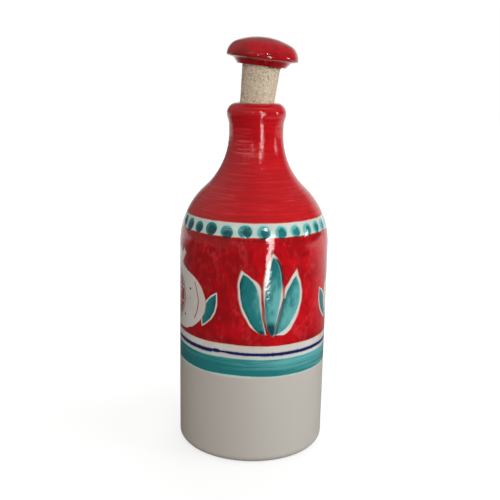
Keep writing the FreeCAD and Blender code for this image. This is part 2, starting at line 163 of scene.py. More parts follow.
def bottleSection(form):  # outside from the foot to the mouth, then the cavity back to the floor
    body, neck, lip = form["bodyRadius"], form["neckRadius"], form["lipRadius"]
    pitch, inner = form["pitch"], form["innerPitch"]
    turn = math.degrees(2 * math.atan((body - neck) / form["shoulderRise"]))
    sweep = form["shoulderRise"] / math.sin(math.radians(turn)) - form["shoulderRadius"]
    neckFoot = form["wallTop"] + form["shoulderRise"]
    neckTop = neckFoot + form["neckLength"]
    shoulderAt = (body - form["shoulderRadius"], form["wallTop"])
    sweepAt = (neck + sweep, neckFoot)
    tilt = math.acos(1 - (lip - neck) / (form["hollowRadius"] + form["undersideRadius"]))
    lipMiddle = neckTop + (form["hollowRadius"] + form["undersideRadius"]) * math.sin(tilt)
    tilt = math.degrees(tilt)
    throat, mouth = form["throatRadius"], form["mouthRound"]
    lipRound = lip - throat - mouth
    throatTop = lipMiddle + lipRound - mouth
    throatFoot = throatTop - form["throatLength"]
    bore, boreTop = form["boreRadius"], throatFoot - form["throatTaper"]
    footEdge = body - form["footRound"]
    recess = footEdge - form["footFlat"]
    edge, deep = form["footRecessRound"], form["footRecess"]
    floorAt = (body - form["wall"] - form["floorRound"], form["floor"] + form["floorRound"])
    outside = joinRuns(
        linePoints((0, deep), (recess - edge, deep), inner),
        arcPoints((recess - edge, deep - edge), edge, 90, 0, 0.4),
        [(recess, 0)],
        linePoints((recess, 0), (footEdge, 0), 1.7),
        arcPoints((footEdge, form["footRound"]), form["footRound"], -90, 0, 0.7),
        linePoints((body, form["footRound"]), (body, form["wallTop"]), pitch),
        arcPoints(shoulderAt, form["shoulderRadius"], 0, turn, pitch),
        arcPoints(sweepAt, sweep, 180 + turn, 180, pitch),
        linePoints((neck, neckFoot), (neck, neckTop), pitch),
        arcPoints((neck + form["hollowRadius"], neckTop), form["hollowRadius"], 180, 180 - tilt, 0.8),
        arcPoints((lip - form["undersideRadius"], lipMiddle), form["undersideRadius"], -tilt, 0, 0.8),
        arcPoints((lip - lipRound, lipMiddle), lipRound, 0, 90, 0.7),
        arcPoints((throat + mouth, throatTop), mouth, 90, 180, 0.3))
    inside = joinRuns(
        [(throat, throatFoot), (bore, boreTop)],
        linePoints((bore, boreTop), (bore, neckFoot), inner),
        arcPoints(sweepAt, sweep + form["wall"], 180, 180 + turn, inner),
        arcPoints(shoulderAt, form["shoulderRadius"] - form["wall"], turn, 0, inner),
        linePoints((body - form["wall"], form["wallTop"]), (body - form["wall"], floorAt[1]), 8),
        arcPoints(floorAt, form["floorRound"], 0, -90, 2.5),
        linePoints((floorAt[0], form["floor"]), (0, form["floor"]), 6))
    return outside, inside


def outerRadius(outside, height):  # radius of the outside at a height, in mm
    climb = [p for p in outside if p[0] > 30 or p[1] > 100]  # leaves out the middle of the foot
    for low, high in zip(climb, climb[1:]):
        if low[1] <= height <= high[1] and high[1] > low[1]:
            return low[0] + (high[0] - low[0]) * (height - low[1]) / (high[1] - low[1])
    return 0


def throwByHand(bm, outside, form):  # rings and lumps, always inwards so that the size holds
    reach = {}
    for vert in bm.verts:
        x, y, z = vert.co / mm
        key = round(z, 2)
        if key not in reach:
            reach[key] = outerRadius(outside, z)
        if z < 1 or math.hypot(x, y) < reach[key] - 0.6:  # the standing ring and the inside stay true
            continue
        neckness = min(1, max(0.15, (z - form["ringsFrom"]) / form["ringsOver"]))
        wander = 1.6 * noise.noise(Vector((x, y, z)) / form["ringsWander"])
        climb = math.tau * (z + 2.2 * wander) / form["ringPitch"]
        ring = 0.5 + 0.5 * math.sin(climb + 2 * math.atan2(y, x) / math.tau)
        wide, tall = form["ringsFadeWide"], form["ringsFadeTall"]
        ring *= 0.5 + 0.5 * noise.noise(Vector((x / wide, y / wide, z / tall)))
        lump = 0.5 + 0.5 * noise.noise(Vector((x, y, z)) / form["lumpWide"])
        small = noise.noise(Vector((x, y, z)) / form["smallLumpWide"] + Vector((7, 3, 5)))
        lump += 0.35 * (0.5 + 0.5 * small)
        vert.co -= vert.normal * (form["ringDepth"] * neckness * ring + form["lumpDepth"] * lump) * mm


paintForm = {            # mm, heights from the foot, and distances round the wall from the front
    "wallRadius": 45.0,
    "panelShift": 11.0,  # middle of the leaf sprig, which faces front and back
    "drift": 2.5,        # how far a band wanders, and how far the hand trembles
    "trembleRound": 1.0,
    "trembleUp": 1.3,
    "ringedFrom": (143, 147),  # above this the ground is brushed in rings
    "thickBearing": -1.15,     # radians, where the red is thickest
    "paintedSheenAt": (-25, 184),      # degrees and height of a painted reflection on the neck, a pale patch where a lamp shows in the glaze
    "redFoot": 74.0,     # lower edge of the red ground
    "panelTop": (132.2, 135.6, 136.0, 136.6),  # upper edge of the panel: begins, full, full to, gone
    "navyLine": 68.8,
    "navyHalf": 0.95,
    "navyBlob": 0.55,    # how much thicker it is where its ends meet
    "navyStart": -31.0,  # degrees
    "bandTop": 65.8,
    "bandFoot": 55.2,
    "dotRow": 140.6,
    "dotRowHalf": 3.8,
    "dotMiddle": 139.6,
    "dotHalfWide": 3.75,
    "dotHalfTall": 3.6,
    "dotCount": 28,
    "dotsFrom": -7.0,    # degrees
    "dotSway": 2.0,      # degrees
    "satinFrom": (54.8, 53.6),
    "bareBelow": (0.9, 0.35),
    "bareOutside": (34.2, 34.9),   # from the axis, as is the next
    "whiteInside": (11.4, 11.0),
}

# each leaf: its cream ground and its green, as (from the front, height) down the left and the right edge
leaves = {
    "leftCream": (
        [(-6.4, 118.4), (-8.4, 112), (-8.4, 105), (-6.9, 97), (-3.9, 90), (1.0, 83.6), (6.4, 80.8)],
        [(-6.4, 118.4), (-1.2, 114.4), (4.2, 109), (4.7, 101), (5.8, 91), (7.2, 85), (8.2, 80.8)]),
    "leftGreen": (
        [(-5.4, 116.4), (-7.4, 111.5), (-7.3, 105), (-6.0, 98), (-3.4, 92), (-0.4, 86.5), (3.4, 82),
         (7.8, 80.4)],
        [(-5.4, 116.4), (-1.4, 113.6), (1.7, 109.8), (3.5, 105), (4.3, 99.5), (5.4, 93), (6.8, 86),
         (7.8, 80.4)]),
    "middleCream": (
        [(11, 128.4), (9, 124), (6.8, 117.5), (6.0, 109), (6.4, 99), (8.2, 86), (12.0, 80)],
        [(11, 128.4), (13.7, 125), (16.3, 118), (17.3, 109), (17.4, 98.5), (15.6, 88), (12.9, 80)]),
    "middleGreen": (
        [(11.2, 126.4), (9.8, 121), (8.9, 114), (7.4, 107), (6.7, 99), (7.6, 90), (9.6, 82), (12.2, 78.8)],
        [(11.2, 126.4), (13.7, 123.6), (16.1, 117), (16.9, 110), (16.3, 102), (15.2, 94), (13.7, 86),
         (12.6, 78.8)]),
    "rightCream": (
        [(26.1, 118.3), (21.8, 112.3), (18.8, 107.5), (18.3, 99.5), (16.5, 91), (14.4, 82), (14.0, 79.8)],
        [(26.1, 118.3), (29.0, 110), (30.4, 102), (28.8, 94.5), (25.6, 87), (21.2, 81), (14.9, 79.8)]),
    "rightGreen": (
        [(26.2, 115), (22.2, 109.6), (19.4, 103.5), (17.9, 96), (15.9, 89), (14.2, 83), (13.7, 80.6)],
        [(26.2, 114.8), (28.6, 108), (29.4, 102), (27.8, 95.5), (24.6, 89), (19.8, 83.4), (14.6, 80.6)]),
}

# how much thinner than the rest each green stroke is, and how much it darkens along its left edge
greenStrokes = {"leftGreen": (-0.04, 0.22), "rightGreen": (0.2, 0.12), "middleGreen": (0.23, 0.14)}

# where strokes overlap at the sprig's foot: from the front, height, half the width and the height
overlaps = ((10.9, 83.6, 4.6, 5.4), (5.0, 81.6, 2.6, 2.0))

# dark lines left between the leaves: from the front at the sprig's foot, and mm that they lean for each up
darkLines = (
    {"from": 13.4, "lean": 0.27, "half": 1.15, "long": 10.5, "cover": 0.85, "colour": "wetGreen"},
    {"from": 8.4, "lean": -0.14, "half": 0.4, "long": 10, "cover": 0.7, "colour": "umber"})
darkLinesFoot = 82
darkLinesMiddle = 91

# split fruit on the side panels: mm, and its edges as (half width, height)
fruitForm = {
    "edge": [(0, 76), (12, 77.5), (22, 83), (27.6, 91), (27.4, 101), (21, 109), (9, 113.5), (4.8, 116),
             (6.4, 119), (11, 124.5), (11, 125)],
    "split": [(0, 82), (4, 87), (7, 94), (6.2, 101), (3, 107), (0, 110.5)],
    "middle": 96,
    "crownTop": 125.0,
    "crownPoint": 3.5,
    "cheekOut": 22.5,    # the curved line on each cheek, and how far it turns in
    "cheekIn": 7.0,
    "cheekRound": 16,
    "cheekHalfLong": 11,
    "cheekHalfThick": 0.42,
    "seedPitch": 2.94,
    "frecklePitch": 5.26,
    "freckle": 0.17,
    "leafAt": (31.0, 93),
    "leafTurn": 64,      # degrees
    "leafCream": (12.4, 4.6),    # half long, half wide
    "leafGreen": (11.2, 3.6),
}

# what each stroke of glaze looks like
ground = {
    "red": "#C20714",
    "redDeep": "#9C060F",
    "redBright": "#CC1620",
    "redStroke": "#5E060A",
    "redThin": "#DC4A50",
    "green": "#217779",
    "greenDeep": "#12454B",
    "greenPale": "#68B4B2",
    "greenOnRed": "#2A1618",
    "overlap": "#0B3F45",
    "halo": "#A8D6CE",
    "navy": "#191D52",
    "navyWash": "#9496BC",
    "cream": "#DAD6CF",
    "creamDull": "#CFC9BF",
    # painted shade: the cream made darker for the lower wall, where less light reaches
    "satinAndPaintedShade": "#BDB7AE",
    "salmon": "#D5826F",
    "umber": "#34171E",
    "wetGreen": "#1E5E60",
    "clay": "#B59C80",
}

# what the brush and the wheel leave in the glaze: mm round the pot, mm up it, detail, roughness
brushMarks = {
    "drift": (45, 125, 1, 0.5),        # slow wander of a band
    "tremble": (6.2, 6.2, 2, 0.5),     # the hand, sideways
    "shiver": (4.8, 5.3, 2, 0.5),      # and up and down
    "rings": (26, 0.95, 4, 0.66),      # brush held to the turning neck
    "fineRings": (20, 0.45, 2, 0.6),
    "thinRings": (24, 0.62, 3, 0.6),
    "strokes": (3.3, 14, 3, 0.55),     # upright strokes in the red field
    "streaks": (3.0, 6, 3, 0.6),
    "cloud": (17, 17, 3, 0.55),
    "pool": (14, 13, 4, 0.62),
    "wash": (9, 17, 3, 0.6),
    "grain": (2, 4.5, 2, 0.6),
    "turning": (33, 1.1, 2, 0.6),
    "bandStroke": (33, 2, 3, 0.6),
    "beads": (1.3, 1.1, 1, 0.5),
    "ripple": (2.7, 1.9, 2, 0.55),     # melt of the glaze itself
}
curledMarks = ("pool", "streaks")      # these bend, as the wrist turned

# how high each mark stands in the fired glaze, in mm
raised = {"rings": 0.10, "fineRings": 0.035, "ripple": 0.085, "cloud": 0.05, "beads": 0.016}

# roughness of the glaze, of its thin foot zone and of the clay, and the index of a tin glaze
finish = {"glossy": 0.055, "satinAndPaintedShade": 0.5, "clay": 0.85, "ior": 1.52}


def makeTinGlaze():
    # majolica: red clay ware under an opaque white tin glaze, painted in oxides while raw and fired once,
    # so that the colours sink into a glossy skin, pool darker where a stroke starts and let the white through
    form = paintForm
    material, add = newMaterial("painted_tin_glaze")
    shade = {name: hexColor(text) for name, text in ground.items()}
    spot = add("TexCoord", out="Object")
    place = add("SeparateXYZ", spot, out=None).outputs
    marks = {}
    for name, (across, up, detail, roughness) in brushMarks.items():
        scale = (1 / (across * mm), 1 / (across * mm), 1 / (up * mm))
        at = add("Mapping", {"Vector": spot, "Scale": scale})
        marks[name] = add("TexNoise", {"Vector": at, "Scale": 1.0, "Detail": detail, "Roughness": roughness,
                                       "Distortion": 0.9 if name in curledMarks else 0.0})

    height = add("Math", place[2], 1 / mm, **times)
    angle = add("Math", place[0], add("Math", place[1], -1, **times), operation="ARCTAN2")
    flat = add("CombineXYZ", place[0], place[1], 0)
    reach = add("Math", add("VectorMath", flat, operation="LENGTH", out=1), 1 / mm, **times)

    # the hand's unevenness, in mm to either side
    driftBy = add("Math", marks["drift"], form["drift"], -form["drift"] / 2, **scaled)
    trembleX = add("Math", marks["tremble"], form["trembleRound"], -form["trembleRound"] / 2, **scaled)
    trembleZ = add("Math", marks["shiver"], form["trembleUp"], -form["trembleUp"] / 2, **scaled)
    drawnRound = add("Math", angle, form["wallRadius"], trembleX, **scaled)
    drawnHeight = add("Math", height, trembleZ, **plus)
    bandHeight = add("Math", add("Math", trembleZ, 0.3, driftBy, **scaled), height, **plus)

    # red ground: in soft patches between the motifs, in rings above, thicker to the left of the front
    neckness = add("MapRange", height, *form["ringedFrom"], **soft)
    fromSide = add("Math", add("Math", angle, -form["thickBearing"], **plus), operation="COSINE")
    thicker = add("MapRange", fromSide, 0.1, 0.95, 0, 0.12, **soft)
    stroked = add("Mix", {0: neckness, 2: marks["strokes"], 3: marks["rings"]})
    pooled = add("Mix", {0: neckness, 2: marks["pool"], 3: marks["rings"]})
    worked = add("Math", add("Math", stroked, 0.2, **times), add("Math", pooled, 0.8, **times), **plus)
    worked = add("Math", worked, thicker, **minus)
    depth = add("Math", neckness, -0.5, 1.0, **scaled)
    depth = add("Math", depth, add("MapRange", worked, 0.57, 0.33, **soft), **times)
    red = add("Mix", {0: depth, 6: shade["red"], 7: shade["redDeep"]}, **tint)
    bright = add("MapRange", worked, 0.52, 0.70, 0, 0.7, **soft)
    red = add("Mix", {0: bright, 6: red, 7: shade["redBright"]}, **tint)
    patch = add("MapRange", marks["cloud"], 0.42, 0.62, 0.25, 1.0, **soft)
    # painted reflection: the red is drawn thinner and paler in one patch on the neck, where a lamp shows in
    # the glaze
    paintedSheenBearing, paintedSheenMiddle = math.radians(form["paintedSheenAt"][0]), form["paintedSheenAt"][1]
    paintedSheenRound = add("Math", add("Math", angle, -paintedSheenBearing, **plus), **absolute)
    paintedSheenHeight = add("Math", add("Math", height, paintedSheenMiddle, **minus), **absolute)
    paintedSheen = add("Math", add("MapRange", paintedSheenRound, 0.55, 0.1, 0, 2.0, **soft),
               add("MapRange", paintedSheenHeight, 12, 3, **soft), **times)
    patch = add("Math", patch, paintedSheen, **plus)
    thin = add("Math", add("MapRange", marks["thinRings"], 0.50, 0.68, 0, 0.4, **soft), patch, **times)
    rubbed = add("Mix", {0: 0.45, 2: marks["wash"], 3: marks["streaks"]})
    rubbed = add("MapRange", rubbed, 0.48, 0.66, 0, 0.34, **soft)  # the field shows its ground a little
    thin = add("Mix", {0: neckness, 2: rubbed, 3: thin})
    red = add("Mix", {0: thin, 6: red, 7: shade["redThin"]}, **tint)

    # cream ground under all of it, a little dull and specked
    dull = add("MapRange", marks["cloud"], 0.35, 0.7, **soft)
    cream = add("Mix", {0: dull, 6: shade["cream"], 7: shade["creamDull"]}, **tint)

    # green: dark where a stroke starts on the left and pools, pale where it runs out
    grainy = add("Math", marks["grain"], 0.52, **times)
    washed = add("Math", add("Math", marks["wash"], 0.98, **times), grainy, **plus)
    washed = add("Math", washed, 0.25, **minus)

    def greenStroke(thinness):  # 0 thick and dark, 1 thin and pale
        low = add("MapRange", thinness, 0.0, 0.5, **soft)
        low = add("Mix", {0: low, 6: shade["greenDeep"], 7: shade["green"]}, **tint)
        high = add("MapRange", thinness, 0.5, 1.0, **soft)
        return add("Mix", {0: high, 6: low, 7: shade["greenPale"]}, **tint)

    def betweenEdges(leftEdge, rightEdge, across):  # mm inside an outline, from its left and from its right
        low, high, left, right = 74, 130, -32, 36  # mm that the curves cover
        top, foot = max(z for _, z in leftEdge), min(z for _, z in leftEdge)
        up = add("MapRange", {"Value": drawnHeight, "From Min": low, "From Max": high})
        sides = []
        for edge in (leftEdge, rightEdge):
            node = add("FloatCurve", {"Value": up}, out=None)
            node.mapping.use_clip = False
            curve = node.mapping.curves[0]
            while len(curve.points) < len(edge):
                curve.points.new(0.5, 0.5)
            for point, (x, z) in zip(curve.points, sorted(edge, key=lambda p: p[1])):
                point.location = ((z - low) / (high - low), (x - left) / (right - left))
            node.mapping.update()
            span = {"Value": node.outputs[0], "To Min": left, "To Max": right}
            sides.append(add("MapRange", span, clamp=False))
        fromLeft = add("Math", across, sides[0], **minus)
        fromRight = add("Math", sides[1], across, **minus)
        inside = add("Math", fromLeft, fromRight, **least)
        inside = add("Math", inside, add("Math", top - 0.02, drawnHeight, **minus), **least)
        inside = add("Math", inside, add("Math", drawnHeight, foot + 0.02, **minus), **least)
        return inside, fromLeft, fromRight

    # layers of glaze from the ground up, each as how much it covers and its colour
    belowRed = add("Math", bandHeight, form["redFoot"], **minus)
    layers = [(add("MapRange", belowRed, -0.7, -0.1, 0, 0.6, **soft), shade["salmon"]),
              (add("MapRange", belowRed, -0.12, 0.15, **soft), red)]

    # deeper red along both edges of the panel, where the brush turned
    lowEdge = add("MapRange", belowRed, 4.2, 0.8, **soft)
    lowEdge = add("Math", add("MapRange", belowRed, 0, 0.3), lowEdge, **times)
    begins, full, fullTo, gone = form["panelTop"]
    highEdge = add("MapRange", height, begins, full, **soft)
    highEdge = add("Math", highEdge, add("MapRange", height, gone, fullTo), **times)
    panelEdge = add("Math", lowEdge, highEdge, **most)
    panelEdge = add("Math", panelEdge, add("MapRange", marks["turning"], 0.35, 0.6, 0, 0.5, **soft), **times)
    layers.append((panelEdge, shade["redStroke"]))

    # dotted cream row: a thin wash round each dot, and a thicker touch of green to one side of it
    unsteady = add("Math", trembleZ, 0.35, height, **scaled)
    rowIn = add("Math", add("Math", unsteady, form["dotRow"], **minus), **absolute)
    rowIn = add("Math", form["dotRowHalf"], rowIn, **minus)
    layers.append((add("MapRange", rowIn, -0.6, 0.1, 0, 0.6, **soft), shade["salmon"]))
    layers.append((add("MapRange", rowIn, -0.1, 0.25, **soft), cream))

    step = math.tau / form["dotCount"]
    sway = add("Math", add("Math", angle, 3.0, 0.52, **scaled), operation="SINE")
    counted = add("Math", sway, -math.radians(form["dotSway"]), angle, **scaled)
    counted = add("Math", add("Math", counted, math.radians(form["dotsFrom"]), **minus), step, **over)
    number = add("Math", counted, operation="ROUND")
    lot = add("TexWhiteNoise", {"W": add("Math", number, form["dotCount"], 0, **wrap)}, noise_dimensions="1D",
              out="Color")
    luck = add("SeparateColor", lot, out=None).outputs
    along = add("Math", add("Math", counted, number, **minus), step, **times)
    along = add("Math", add("Math", along, reach, **times), add("Math", trembleX, 0.7, **times), **plus)
    upward = add("Math", add("Math", unsteady, form["dotMiddle"], **minus),
                 add("Math", luck[1], 0.8, -0.4, **scaled), **plus)
    upward = add("Math", trembleZ, 0.5, upward, **scaled)
    onDot = add("CombineXYZ", add("Math", along, form["dotHalfWide"], **over),
                add("Math", upward, form["dotHalfTall"], **over), 0)
    dotReach = add("VectorMath", onDot, operation="LENGTH", out=1)
    dotReach = add("Math", dotReach, add("Math", luck[2], 0.14, -0.07, **scaled), **plus)
    fromCore = add("VectorMath", onDot, (0.2, -0.1, 0), **minus)
    coreReach = add("Math", add("VectorMath", fromCore, operation="LENGTH", out=1), 1 / 0.8, **times)
    coreReach = add("Math", coreReach, add("Math", marks["grain"], 0.8, -0.4, **scaled), **plus)
    paintedLightFromRight = add("Math", add("Math", angle, operation="SINE"), 0.34, **times)  # painted light: paler on the right side, where the light falls, and darker on the left
    # painted light: the dots are paler to the right
    dotShade = add("Math", washed, 0.6, paintedLightFromRight, **scaled)
    dotShade = add("Math", dotShade, add("Math", luck[1], 0.25, 0.36, **scaled), **plus)
    dotShade = add("Math", dotShade, add("MapRange", coreReach, 1.15, 0.5, 0, 0.56, **soft), **minus)
    aura = add("MapRange", dotReach, 1.5, 1.0, **soft)
    aura = add("Math", aura, add("MapRange", rowIn, 0, 0.6, 0, 0.9), **times)
    layers.append((aura, shade["halo"]))
    onCream = add("MapRange", rowIn, -0.2, 0.3)
    dotColour = add("Mix", {0: onCream, 6: shade["greenOnRed"], 7: greenStroke(dotShade)}, **tint)
    layers.append((add("MapRange", dotReach, 1.05, 0.92, **soft), dotColour))

    # navy line, drawn from a full brush: it thins out round each side and ends on its own start
    run = add("Math", add("Math", math.radians(form["navyStart"]), angle, **minus), math.pi, 0, **wrap)
    navyHalf = add("MapRange", run, 0, math.pi, form["navyHalf"] * 1.25, form["navyHalf"])
    navyHalf = add("Math", navyHalf, add("MapRange", run, math.pi, math.pi - 0.45, 0.4, 0, **soft), **minus)
    blob = add("Math", add("Math", run, math.pi - 0.06, **minus), **absolute)
    navyHalf = add("Math", add("MapRange", blob, 0.085, 0.02, 0, form["navyBlob"], **soft), navyHalf, **plus)
    lineHeight = add("MapRange", blob, 0.3, 0.0, form["navyLine"], form["navyLine"] + 0.3, **soft)
    fromLine = add("Math", add("Math", bandHeight, lineHeight, **minus), **absolute)
    navyIn = add("Math", navyHalf, fromLine, **minus)
    navyIn = add("Math", navyIn, add("Math", marks["grain"], 0.6, -0.3, **scaled), **plus)
    layers.append((add("MapRange", navyIn, -0.9, 0.0, 0, 0.5, **soft), shade["navyWash"]))
    layers.append((add("MapRange", navyIn, -0.15, 0.3, **soft), shade["navy"]))

    # green band, paler towards its upper edge, with a wash of its own beyond both edges
    bandIn = add("Math", add("Math", form["bandTop"], bandHeight, **minus),
                 add("Math", bandHeight, form["bandFoot"], **minus), **least)
    bandMiddle = (form["bandTop"] + form["bandFoot"]) / 2
    climb = add("Math", add("Math", bandHeight, bandMiddle, **minus), 0.025, **times)
    bandShade = add("Math", add("Math", marks["bandStroke"], 0.75, 0.24, **scaled), climb, **plus)
    # painted light: the band is also paler on its right side, where the light falls
    bandShade = add("Math", add("Math", paintedLightFromRight, 0.5, **times), bandShade, **plus)
    layers.append((add("MapRange", bandIn, -1.1, 0.0, 0, 0.8, **soft), shade["halo"]))
    layers.append((add("MapRange", bandIn, -0.15, 0.45, **soft), greenStroke(bandShade)))

    # leaf sprig, front and back: cream ground first, then the green strokes
    halfTurn = math.pi * form["wallRadius"] / 2
    sprigRound = add("Math", drawnRound, form["panelShift"], **minus)
    sprigRound = add("Math", sprigRound, halfTurn, -halfTurn, **wrap)
    sprigRound = add("Math", sprigRound, form["panelShift"], **plus)
    for name in ("leftCream", "rightCream", "middleCream"):
        inside, _, fromRight = betweenEdges(*leaves[name], sprigRound)
        contour = add("Math", add("MapRange", inside, -1.7, -0.6, **soft),
                      add("MapRange", marks["tremble"], 0.35, 0.55, 0, 0.5, **soft), **times)
        layers.append((contour, shade["redStroke"]))
        layers.append((add("MapRange", inside, -0.8, 0.0, 0, 0.9, **soft), shade["salmon"]))
        layers.append((add("MapRange", inside, 0.0, 0.35, **soft), cream))
    greenCover = 0.0
    for name, (lift, edgeDark) in greenStrokes.items():
        inside, fromLeft, fromRight = betweenEdges(*leaves[name], sprigRound)
        along = add("Math", add("Math", 112, height, **minus), 0.005, **times)
        across = add("Math", add("Math", fromLeft, 9.0, **least), 0.025, along, **scaled)
        edges = add("Math", add("MapRange", fromLeft, 3.2, 0.2, 0, -edgeDark, **soft),
                    add("MapRange", fromRight, 1.6, 0.0, 0, 0.16, **soft), **plus)
        thinness = add("Math", washed, 0.85, lift - 0.06, **scaled)
        thinness = add("Math", thinness, add("Math", across, edges, **plus), **plus)
        cover = add("MapRange", fromRight, -0.2, 0.8, **soft)
        cover = add("Math", add("MapRange", inside, -0.1, 0.3, **soft), cover, **least)
        layers.append((cover, greenStroke(thinness)))
        greenCover = add("Math", greenCover, cover, **most)
        if name == "middleGreen":  # the brush left a dark line down this edge
            line = add("MapRange", fromRight, 0.6, 0.0, **soft)
            line = add("Math", add("MapRange", fromRight, -1.4, -0.7, **soft), line, **times)
            line = add("Math", line, add("MapRange", drawnHeight, 104, 113, **soft), **times)
            line = add("Math", line, add("MapRange", drawnHeight, 127, 124, 0, 0.95, **soft), **times)
            layers.append((line, shade["umber"]))

    # darker where the strokes meet at the foot, and dark lines between them
    for x, z, wide, tall in overlaps:
        fromJoin = add("CombineXYZ", add("Math", add("Math", sprigRound, x, **minus), wide, **over),
                       add("Math", add("Math", drawnHeight, z, **minus), tall, **over), 0)
        join = add("VectorMath", fromJoin, operation="LENGTH", out=1)
        overlap = add("Math", add("MapRange", join, 1.1, 0.35, 0, 0.95, **soft), greenCover, **times)
        layers.append((overlap, shade["overlap"]))
    for dark in darkLines:
        line = add("Math", drawnHeight, darkLinesFoot, **minus)
        line = add("Math", line, dark["lean"], dark["from"], **scaled)
        line = add("Math", add("Math", sprigRound, line, **minus), **absolute)
        ends = add("Math", add("Math", drawnHeight, darkLinesMiddle, **minus), **absolute)
        ends = add("Math", dark["long"], ends, **minus)
        line = add("Math", add("Math", dark["half"], line, **minus), ends, **least)
        layers.append((add("MapRange", line, -0.15, 0.3, 0, dark["cover"], **soft), shade[dark["colour"]]))

    # split fruit on the side panels, with a leaf at each side
    motif = fruitForm
    fruitRound = add("Math", drawnRound, form["panelShift"] + halfTurn + 2, **minus)
    fruitRound = add("Math", fruitRound, halfTurn, -halfTurn, **wrap)
    acrossFruit = add("Math", fruitRound, **absolute)
    upFruit = add("Math", drawnHeight, motif["middle"], **minus)
    leafTurn = math.radians(motif["leafTurn"])
    turnCos, turnSin = math.cos(leafTurn), math.sin(leafTurn)
    leafX = add("Math", acrossFruit, motif["leafAt"][0], **minus)
    leafZ = add("Math", drawnHeight, motif["leafAt"][1], **minus)
    leafLong = add("Math", leafX, turnCos, add("Math", leafZ, turnSin, **times), **scaled)
    leafWide = add("Math", leafX, -turnSin, add("Math", leafZ, turnCos, **times), **scaled)
    for half, wide, colour in ((*motif["leafCream"], cream), (*motif["leafGreen"], None)):
        bow = add("Math", add("Math", add("Math", leafLong, half, **over), 2, **power), -wide, wide, **scaled)
        inside = add("Math", bow, add("Math", leafWide, **absolute), **minus)
        if colour is None:
            colour = greenStroke(add("Math", washed, 0.8, add("Math", leafWide, 0.05, **times), **scaled))
        layers.append((add("MapRange", inside, -0.05, 0.3, **soft), colour))

    fruit, _, _ = betweenEdges([(-x, z) for x, z in motif["edge"]], motif["edge"], fruitRound)
    crown = add("Math", acrossFruit, motif["crownPoint"], operation="PINGPONG")
    crown = add("Math", motif["crownTop"], crown, **minus)
    fruit = add("Math", fruit, add("Math", crown, drawnHeight, **minus), **least)
    layers.append((add("MapRange", fruit, -0.6, 0.05, 0, 0.85, **soft), shade["salmon"]))
    layers.append((add("MapRange", fruit, 0.0, 0.3, **soft), cream))
    split, _, _ = betweenEdges([(-x, z) for x, z in motif["split"]], motif["split"], fruitRound)
    seeds, freckles = (
        add("TexVoronoi", {"Vector": spot, "Scale": 1 / (pitch * mm), "Randomness": loose})
        for pitch, loose in ((motif["seedPitch"], 0.4), (motif["frecklePitch"], 0.55)))
    seedColour = add("Mix", {0: add("MapRange", seeds, 0.37, 0.29, **soft), 6: red, 7: cream}, **tint)
    layers.append((add("MapRange", split, 0.0, 0.3, **soft), seedColour))
    outline = add("Math", add("Math", split, 1.1, **plus), **absolute)
    layers.append((add("MapRange", outline, 0.55, 0.2, **soft), shade["navy"]))
    bulge = add("Math", add("Math", upFruit, motif["cheekRound"], **over), 2, **power)
    bulge = add("Math", bulge, -motif["cheekIn"], motif["cheekOut"], **scaled)
    cheek = add("Math", add("Math", acrossFruit, bulge, **minus), **absolute)
    ends = add("Math", motif["cheekHalfLong"], add("Math", upFruit, **absolute), **minus)
    cheek = add("Math", add("Math", motif["cheekHalfThick"], cheek, **minus), ends, **least)
    layers.append((add("MapRange", cheek, -0.1, 0.25, **soft), red))
    freckle = add("Math", motif["freckle"], freckles, **minus)
    for limit in (add("Math", add("Math", bulge, 2.2, **minus), acrossFruit, **minus),
                  add("Math", -3.0, split, **minus),
                  add("Math", ends, 3, **plus)):
        freckle = add("Math", freckle, limit, **least)
    layers.append((add("MapRange", freckle, 0.0, 0.05, **soft), shade["navy"]))

    # clay shows where the foot was wiped and left standing in the kiln; the bore stays white
    bare = add("MapRange", reach, *form["bareOutside"], **soft)
    bare = add("Math", add("MapRange", height, *form["bareBelow"], **soft), bare, **times)
    layers.append((bare, shade["clay"]))
    layers.append((add("MapRange", reach, *form["whiteInside"], **soft), cream))

    # below the band the glaze is thin and wiped, so it is satin and duller; its colour there is also darker,
    # which is painted shade for the lower wall, where less light reaches
    satinAndPaintedShade = add("MapRange", height, *form["satinFrom"], **soft)
    layers.append((add("Math", satinAndPaintedShade, add("MapRange", height, 0.3, 1.0), **times), shade["satinAndPaintedShade"]))

    painted = cream
    for cover, colour in layers:
        painted = add("Mix", {0: cover, 6: painted, 7: colour}, **tint)

    roughness = add("Mix", {0: satinAndPaintedShade, 2: finish["glossy"], 3: finish["satinAndPaintedShade"]})
    roughness = add("Mix", {0: bare, 2: roughness, 3: finish["clay"]})
    ridge = add("Math", marks["fineRings"], raised["fineRings"], **times)
    ridge = add("Math", add("Math", marks["rings"], raised["rings"], **times), ridge, **plus)
    swollen = add("Math", marks["cloud"], raised["cloud"], **times)
    swollen = add("Math", add("Math", marks["ripple"], raised["ripple"], **times), swollen, **plus)
    swollen = add("Math", marks["beads"], raised["beads"], swollen, **scaled)
    relief = add("Math", ridge, neckness, swollen, **scaled)
    bump = add("Bump", {"Height": relief, "Distance": mm, "Strength": 0.9})
    shader = add("BsdfPrincipled", {"Base Color": painted, "Roughness": roughness, "Normal": bump,
                                    "IOR": finish["ior"]})
    add("OutputMaterial", {"Surface": shader})
    return material


def makeBottle():
    outside, inside = bottleSection(bottleForm)
    bm = spinSection(outside + inside, bottleForm["segments"])
    throwByHand(bm, outside, bottleForm)
    bottle = finishPiece(bm, "painted_bottle", makeTinGlaze(), crease=50)
    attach(bottle, "root")
    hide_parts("bottle")
    print("bottle turned and painted:", len(bottle.data.polygons), "faces")


# where the stopper sits: mm above the foot, and its lean in degrees towards +X
seat = {"height": 206.79, "lean": 5.7}


def leanInMouth(bm, along):  # sets an upright piece on the stopper's axis
    turn = Matrix.Rotation(math.radians(seat["lean"]), 4, "Y")
    lift = Matrix.Translation((0, 0, seat["height"] * mm))
    bmesh.ops.transform(bm, matrix=lift @ turn @ Matrix.Translation((0, 0, along * mm)), verts=bm.verts)


